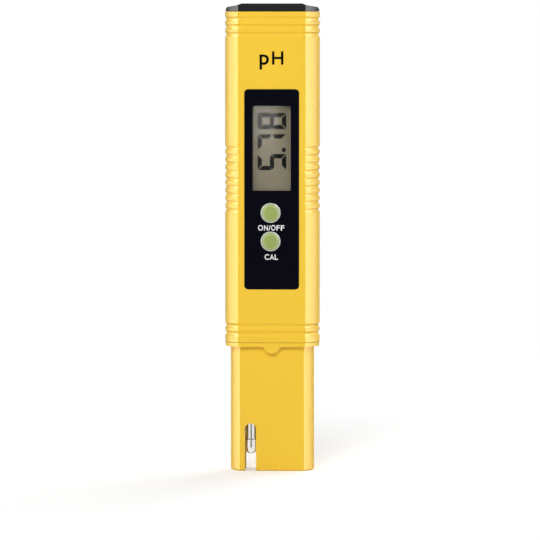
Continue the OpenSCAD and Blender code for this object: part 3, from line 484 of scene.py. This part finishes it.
# Board: glass-fibre sheet under green solder mask, with its chips, switches, crystal
# and small parts soldered on, gilt pads under the display's contact strips, and four
# screws into the front shell.
TRACK_SCALE = 260.0
TRACK_SHARE = 0.05
TRACK_LIFT = 0.03 * MM
WEAVE_SCALE = 900.0
board, tree, shader = finish_named("board_green", Specular_IOR_Level=0.5)
spot = own_place(tree)
stood_up = {"Vector": spot, "Rotation": (math.radians(90), 0, 0)}
upright = place(tree, "ShaderNodeMapping", stood_up).outputs[0]
tracks = place(tree, "ShaderNodeTexBrick", {
    "Vector": upright, "Color1": paint(18, 74, 38), "Color2": paint(22, 84, 44),
    "Mortar": paint(44, 116, 62), "Scale": TRACK_SCALE, "Mortar Size": TRACK_SHARE, "Bias": 0.0,
})
tree.links.new(tracks.outputs["Color"], shader.inputs["Base Color"])
weave = place(tree, "ShaderNodeTexWave", {"Vector": spot, "Scale": WEAVE_SCALE, "Distortion": 1.0})
tree.links.new(between(tree, weave.outputs["Fac"], 0.3, 0.38), shader.inputs["Roughness"])
raised = place(tree, "ShaderNodeBump", {"Height": tracks.outputs["Fac"], "Distance": TRACK_LIFT})
tree.links.new(raised.outputs[0], shader.inputs["Normal"])
dress(board, nodes["circuit_board"])
chip_epoxy = plastic(
    "chip_epoxy", paint(26, 26, 28), rubbed=paint(60, 60, 62), share=0.2, drift=0.2,
    roughness=0.55, grain=3200.0, depth=0.01 * MM, edge=0.1 * MM,
)
dress(chip_epoxy, nodes["controller_blob"], nodes["amplifier_chip"])
dress(chip_epoxy, nodes["on_off_switch"], nodes["cal_switch"])


def row_of(name, unit, turn, size, count, start, step, material, body):
    """A row of one small form along a line, made by a node tree, as one finished mesh."""
    tree = bpy.data.node_groups.new(name + "_row", "GeometryNodeTree")
    values = {"Count": count, "Start": start, "Step": step, "Turn": turn, "Size": size, "Finish": material}
    kinds = {"Count": "Int", "Finish": "Material"}
    for label in values:
        socket = "NodeSocket" + kinds.get(label, "Vector")
        tree.interface.new_socket(label, in_out="INPUT", socket_type=socket)
    tree.interface.new_socket("Geometry", in_out="OUTPUT", socket_type="NodeSocketGeometry")
    given = tree.nodes.new("NodeGroupInput").outputs
    line = place(
        tree, "GeometryNodeMeshLine",
        {"Count": given["Count"], "Start Location": given["Start"], "Offset": given["Step"]}, mode="OFFSET",
    )
    form = place(tree, unit)
    many = place(tree, "GeometryNodeInstanceOnPoints", {
        "Points": line.outputs[0], "Instance": form.outputs[0],
        "Rotation": given["Turn"], "Scale": given["Size"],
    })
    real = place(tree, "GeometryNodeRealizeInstances", {0: many.outputs[0]})
    dressed = {"Geometry": real.outputs[0], "Material": given["Finish"]}
    done = place(tree, "GeometryNodeSetMaterial", dressed)
    place(tree, "NodeGroupOutput", {0: done.outputs[0]})
    host = bpy.data.objects.new(name + "_host", bpy.data.meshes.new(name + "_host"))
    bpy.context.scene.collection.objects.link(host)
    maker = host.modifiers.new("row", "NODES")
    maker.node_group = tree
    for item in tree.interface.items_tree:
        if item.in_out == "INPUT":
            maker[item.identifier] = values[item.name]
    bpy.context.view_layer.update()
    mesh = bpy.data.meshes.new_from_object(host.evaluated_get(bpy.context.evaluated_depsgraph_get()))
    mesh.name = name
    host.modifiers.remove(maker)
    bpy.data.objects.remove(host)
    piece = bpy.data.objects.new(name, mesh)
    bpy.context.scene.collection.objects.link(piece)
    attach(piece, body)
    return piece


PAD_PITCH = 0.9 * MM
PAD_SIZE = (2.2 * MM, 0.04 * MM, 0.5 * MM)
board_front, board_back = (corner.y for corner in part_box("circuit_board"))
pad_gold = metal("pad_gold", paint(230, 192, 104), dull=paint(212, 170, 84), roughness=0.34, lines=3000.0)
for side in ("left", "right"):
    low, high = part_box(side + "_contact_strip")
    count = int((high.z - low.z) / PAD_PITCH) - 1
    first = ((low.x + high.x) / 2, board_front, (low.z + high.z - (count - 1) * PAD_PITCH) / 2)
    row_of(
        side + "_pads", "GeometryNodeMeshCube", turn=(0, 0, 0), size=PAD_SIZE, count=count,
        start=first, step=(0, 0, PAD_PITCH), material=pad_gold, body="pen",
    )

SOLDER_R = 0.8 * MM
SOLDER_FORM = (0.75, 0.6, 1.0, 1)
SOLDER_X = (-6.9, 0.0, 6.5, 7.5)
SOLDER_Z = 63.4
solder = metal("solder_tin", paint(200, 201, 204), dull=paint(164, 166, 170), roughness=0.36, lines=2400.0)
joints = bmesh.new()
for x in SOLDER_X:
    dome = Matrix.Translation((x * MM, board_back, SOLDER_Z * MM)) @ Matrix.Diagonal(SOLDER_FORM)
    bmesh.ops.create_uvsphere(joints, u_segments=20, v_segments=12, radius=SOLDER_R, matrix=dome)
for face in joints.faces:
    face.smooth = True
dress(solder, piece_from(joints, "solder_joints", "pen"))

PART_STEP = 3.0 * MM
PART_MIDDLE = 0.8 * MM
CERAMIC_HALF = 0.5 * MM
small_parts, tree, shader = finish_named("chip_part_ceramic")
height = place(tree, "ShaderNodeSeparateXYZ", {0: own_place(tree)}).outputs["Z"]
row_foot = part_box("chip_parts")[0].z
along = sums(tree, "MODULO", sums(tree, "SUBTRACT", height, row_foot), PART_STEP)
off_middle = sums(tree, "ABSOLUTE", sums(tree, "SUBTRACT", along, PART_MIDDLE))
tinned = sums(tree, "GREATER_THAN", off_middle, CERAMIC_HALF)
tint = blend_colours(tree, tinned, paint(150, 118, 82), paint(196, 196, 200))
tree.links.new(tint, shader.inputs["Base Color"])
tree.links.new(tinned, shader.inputs["Metallic"])
tree.links.new(between(tree, tinned, 0.6, 0.3), shader.inputs["Roughness"])
dress(small_parts, nodes["chip_parts"])


# Batteries: two steel button cells side by side in a black tray with a ribbed pull tab,
# joined behind by a sprung plate. The wide face of one looks forward and is stamped
# with a plus.
RIBS = 4
RIB_LONG = 6.4 * MM
RIB_R = 0.16 * MM
RIB_STEP = 0.5 * MM
RIB_DROP = 2.2 * MM
PLUS_ARM = 0.9 * MM
PLUS_HALF = 0.16 * MM
PLUS_X, PLUS_Z = -8.6 * MM, 140.4 * MM
PLUS_PROUD, PLUS_SUNK = 0.04 * MM, 0.02 * MM
for number in (1, 2):
    cell = nodes[f"battery_cell_{number}"]
    low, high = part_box(cell.name)
    cell_steel = metal(
        f"cell_steel_{number}", paint(210, 210, 212), dull=paint(184, 185, 188),
        roughness=0.24, lines=7200.0, centre=(low + high) / 2,
    )
    dress(cell_steel, cell)

tab_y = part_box("battery_bridge")[1].y
tab_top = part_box("battery_tray")[1].z
row_of(
    "pull_tab_ribs", "GeometryNodeMeshCylinder", turn=(0, math.radians(90), 0),
    size=(RIB_R, RIB_R, RIB_LONG / 2), count=RIBS, start=(0, tab_y, tab_top - RIB_DROP),
    step=(0, 0, RIB_STEP), material=cap_black, body="batteries",
)
cell_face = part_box("battery_cell_1")[0].y
outline = [
    (-PLUS_ARM, -PLUS_HALF), (-PLUS_HALF, -PLUS_HALF), (-PLUS_HALF, -PLUS_ARM),
    (PLUS_HALF, -PLUS_ARM), (PLUS_HALF, -PLUS_HALF), (PLUS_ARM, -PLUS_HALF),
    (PLUS_ARM, PLUS_HALF), (PLUS_HALF, PLUS_HALF), (PLUS_HALF, PLUS_ARM),
    (-PLUS_HALF, PLUS_ARM), (-PLUS_HALF, PLUS_HALF), (-PLUS_ARM, PLUS_HALF),
]
stamp = bmesh.new()
corners = [(x + PLUS_X, z + PLUS_Z) for x, z in outline]
extrude_flat(stamp, corners, cell_face - PLUS_PROUD, cell_face + PLUS_SUNK)
dress(steel, piece_from(stamp, "plus_stamp", "batteries"))


# Electrodes: a glass tube with a thin bulb round a silver wire, a reference tube with a
# porous plug, and a temperature probe, all held in a pale block and its rubber seal.
PROBE_CENTRE = (7 * MM, 0, 0)
dress(white_plastic, nodes["electrode_holder"], nodes["reference_tube"])
dress(clear("electrode_glass", ior=1.5, flows_per_m=300.0, haze=0.03), nodes["glass_electrode"])
nodes["glass_electrode"].visible_shadow = False
porous_plug = plastic(
    "porous_plug", paint(236, 234, 228), rubbed=paint(250, 250, 248), share=0.2, drift=0.2,
    roughness=0.85, grain=3800.0, depth=0.04 * MM, edge=0.08 * MM, Specular_IOR_Level=0.2,
)
dress(porous_plug, nodes["reference_junction"])
probe_steel = metal(
    "probe_steel", paint(190, 191, 194), dull=paint(160, 161, 165), roughness=0.32, lines=6000.0,
    centre=PROBE_CENTRE,
)
dress(probe_steel, nodes["temperature_probe"])
for name, colour, pale in (
    ("electrode_lead", paint(176, 28, 24), paint(214, 90, 80)),
    ("thermistor_leads", paint(226, 224, 216), paint(245, 244, 240)),
):
    lead_sleeve = plastic(
        name + "_sleeve", colour, rubbed=pale, share=0.2, drift=0.1,
        roughness=0.4, grain=3000.0, depth=0.006 * MM, edge=0.08 * MM,
    )
    dress(lead_sleeve, nodes[name])


# Studio: a white floor and a surround that the camera and clear pieces see white, and soft
# boxes: a key in front, one behind, a fill, a strip and a spark at each side for the long
# highlights, and a narrow one whose reflection is the glare on the display.
WHITE = (1, 1, 1, 1)
SURROUND_GLOW = 0.4
FLOOR_HALF = 4.0
FLOOR_GREY = (0.82, 0.82, 0.82, 1)
FLOOR_LIFT = 0.25
FADE_START, FADE_END = 0.08, 0.5


def seen_white(tree):
    """Whether a ray comes from the camera or out of a clear piece."""
    path = place(tree, "ShaderNodeLightPath").outputs
    return sums(tree, "MAXIMUM", path["Is Camera Ray"], path["Is Transmission Ray"])


surround = bpy.data.worlds.new("studio")
bpy.context.scene.world = surround
surround.use_nodes = True
tree = surround.node_tree
tree.nodes.clear()
dim = place(tree, "ShaderNodeBackground", {"Color": WHITE, "Strength": SURROUND_GLOW})
bright = place(tree, "ShaderNodeBackground", {"Color": WHITE, "Strength": 1.0})
both = place(tree, "ShaderNodeMixShader", {0: seen_white(tree), 1: dim.outputs[0], 2: bright.outputs[0]})
place(tree, "ShaderNodeOutputWorld", {"Surface": both.outputs[0]})

slab = bmesh.new()
bmesh.ops.create_grid(slab, x_segments=1, y_segments=1, size=FLOOR_HALF)
mesh = bpy.data.meshes.new("floor")
slab.to_mesh(mesh)
slab.free()
floor = bpy.data.objects.new("floor", mesh)
bpy.context.scene.collection.objects.link(floor)
floor_white = bpy.data.materials.new("floor_white")
floor_white.use_nodes = True
tree = floor_white.node_tree
tree.nodes.clear()
away = place(tree, "ShaderNodeVectorMath", {0: own_place(tree)}, operation="LENGTH").outputs["Value"]
far = place(
    tree, "ShaderNodeMapRange", {"Value": away, "From Min": FADE_START, "From Max": FADE_END},
    interpolation_type="SMOOTHSTEP",
).outputs[0]
matt = place(tree, "ShaderNodeBsdfDiffuse", {"Color": FLOOR_GREY})
glow = place(tree, "ShaderNodeEmission", {"Color": WHITE, "Strength": 1.0})
lift = place(tree, "ShaderNodeEmission", {"Color": WHITE, "Strength": FLOOR_LIFT})
near = place(tree, "ShaderNodeAddShader", {0: matt.outputs[0], 1: lift.outputs[0]})
shown = place(tree, "ShaderNodeMixShader", {0: far, 1: near.outputs[0], 2: glow.outputs[0]})
both = place(tree, "ShaderNodeMixShader", {0: seen_white(tree), 1: matt.outputs[0], 2: shown.outputs[0]})
place(tree, "ShaderNodeOutputMaterial", {"Surface": both.outputs[0]})
dress(floor_white, floor)
floor.visible_glossy = False  # it would hide the strips' lower ends from the sleeve's gloss

SENSOR = 36.0
FRAME_WIDE = 172.9 * MM  # what the picture takes in across, at the face of the panel
FACE_NEAR = 0.0065  # how far that face lies before the pen's middle
DISTANCE = 1.2
EYE_Z = 0.138
YAW = math.radians(2)
AIM = Vector((-0.0008, 0, 0.0645))
lens = bpy.data.cameras.new("camera")
lens.sensor_width = SENSOR
lens.lens = SENSOR * (DISTANCE - FACE_NEAR) / FRAME_WIDE
lens.clip_start = 0.05
lens.clip_end = 20.0
camera = bpy.data.objects.new("camera", lens)
bpy.context.scene.collection.objects.link(camera)
camera.location = (AIM.x * math.cos(YAW) + DISTANCE * math.sin(YAW), -DISTANCE * math.cos(YAW), EYE_Z)
camera.rotation_mode = "QUATERNION"
camera.rotation_quaternion = (AIM - camera.location).to_track_quat("-Z", "Y")
bpy.context.scene.camera = camera


def light_box(name, spot, aim, width, height, glow, lights, roll=0.0, fade=None):
    """A soft box at a place, turned to its aim. Its glow is how bright its face is.

    It lights one kind of ray alone: diffuse, glossy, or transmission for what lies behind the window.
    With fade, its face dims between two shares of the glow, along its width or its height."""
    lamp = bpy.data.lights.new(name, "AREA")
    lamp.shape = "RECTANGLE"
    lamp.size = width
    lamp.size_y = height
    lamp.energy = glow * width * height * math.pi
    if fade:
        along, start, end = fade
        lamp.use_nodes = True
        sheet = lamp.node_tree
        sheet.nodes.clear()
        face = place(sheet, "ShaderNodeNewGeometry").outputs["Parametric"]
        parts = place(sheet, "ShaderNodeSeparateXYZ", {0: face}).outputs
        level = place(
            sheet, "ShaderNodeMapRange",
            {"Value": parts["X" if along == "width" else "Y"], "To Min": start, "To Max": end},
            interpolation_type="SMOOTHSTEP" if along == "width" else "LINEAR",
        ).outputs[0]
        glowing = place(sheet, "ShaderNodeEmission", {"Strength": level})
        place(sheet, "ShaderNodeOutputLight", {"Surface": glowing.outputs[0]})
    holder = bpy.data.objects.new(name, lamp)
    bpy.context.scene.collection.objects.link(holder)
    holder.location = spot
    turned = (Vector(aim) - Vector(spot)).to_track_quat("-Z", "Y")
    holder.rotation_mode = "QUATERNION"
    holder.rotation_quaternion = turned @ Matrix.Rotation(roll, 4, "Z").to_quaternion()
    for kind in ("camera", "diffuse", "glossy", "transmission", "volume_scatter"):
        setattr(holder, "visible_" + kind, kind == lights)


LAMP_AIM = (0, 0, 0.08)
STRIP_FAR, STRIP_Z, STRIP_TALL = 0.3, 0.055, 0.27
STRIP_TURN = math.radians(92)
STRIP_HALF_SPAN = math.radians(40)
STRIP_WIDE = 2 * STRIP_FAR * math.tan(STRIP_HALF_SPAN)
SPARK_OUT, SPARK_Y, SPARK_Z, SPARK_WIDE = 0.28, -0.06, 0.36, 0.32
FILL_FAR, FILL_Z, FILL_WIDE = 0.8, 0.25, 0.4
FILL_TURN = math.radians(128)
for word, side, fill_glow in (("left", -1, 2.0), ("right", 1, 4.5)):
    light_box(
        word + "_strip",
        (side * STRIP_FAR * math.sin(STRIP_TURN), -STRIP_FAR * math.cos(STRIP_TURN), STRIP_Z),
        (0, 0, STRIP_Z), width=STRIP_WIDE, height=STRIP_TALL, glow=12.0, lights="glossy",
        fade=("width", 0.0, 1.0) if side < 0 else ("width", 1.0, 0.0),
    )
    light_box(
        word + "_spark",
        (side * SPARK_OUT, SPARK_Y, SPARK_Z),
        LAMP_AIM, width=SPARK_WIDE, height=SPARK_WIDE, glow=15.0, lights="glossy",
    )
    light_box(
        word + "_fill",
        (side * FILL_FAR * math.sin(FILL_TURN), -FILL_FAR * math.cos(FILL_TURN), FILL_Z),
        LAMP_AIM, width=FILL_WIDE, height=FILL_WIDE, glow=fill_glow, lights="diffuse",
    )
light_box("key_box", (-0.14, -1.0, 0.75), LAMP_AIM, width=0.4, height=0.4, glow=15.0, lights="diffuse")
light_box("rear_box", (0.5, 1.0, 0.7), LAMP_AIM, width=0.6, height=0.6, glow=5.0, lights="diffuse")

GLARE_Y = -0.6
GLARE_WIDE = 0.017
GLARE_LONGER = 1.3
GLARE_TOP = (2.4 * MM, 117.2 * MM)  # two places on the glare's slanting edge, across and up
GLARE_FOOT = (0.2 * MM, 98.3 * MM)


def mirrored(x, z):
    """Where the sight line to a point of the display goes on, mirrored, in the glare box's plane."""
    point = Vector((x, film_y, z))
    way = point - camera.location
    way.y = -way.y
    return point + way * ((GLARE_Y - film_y) / way.y)


upper = mirrored(*GLARE_TOP)
lower = mirrored(*GLARE_FOOT)
lean = math.atan2(upper.x - lower.x, upper.z - lower.z)
spot = (upper + lower) / 2 + Vector((-math.cos(lean), 0, math.sin(lean))) * GLARE_WIDE / 2
light_box(
    "glare_box", spot, spot + Vector((0, 1, 0)),
    width=GLARE_WIDE, height=(upper - lower).length * GLARE_LONGER,
    glow=23.0, lights="transmission", roll=-lean, fade=("height", 0.0, 1.0),
)
bpy.context.scene.view_settings.view_transform = "Standard"
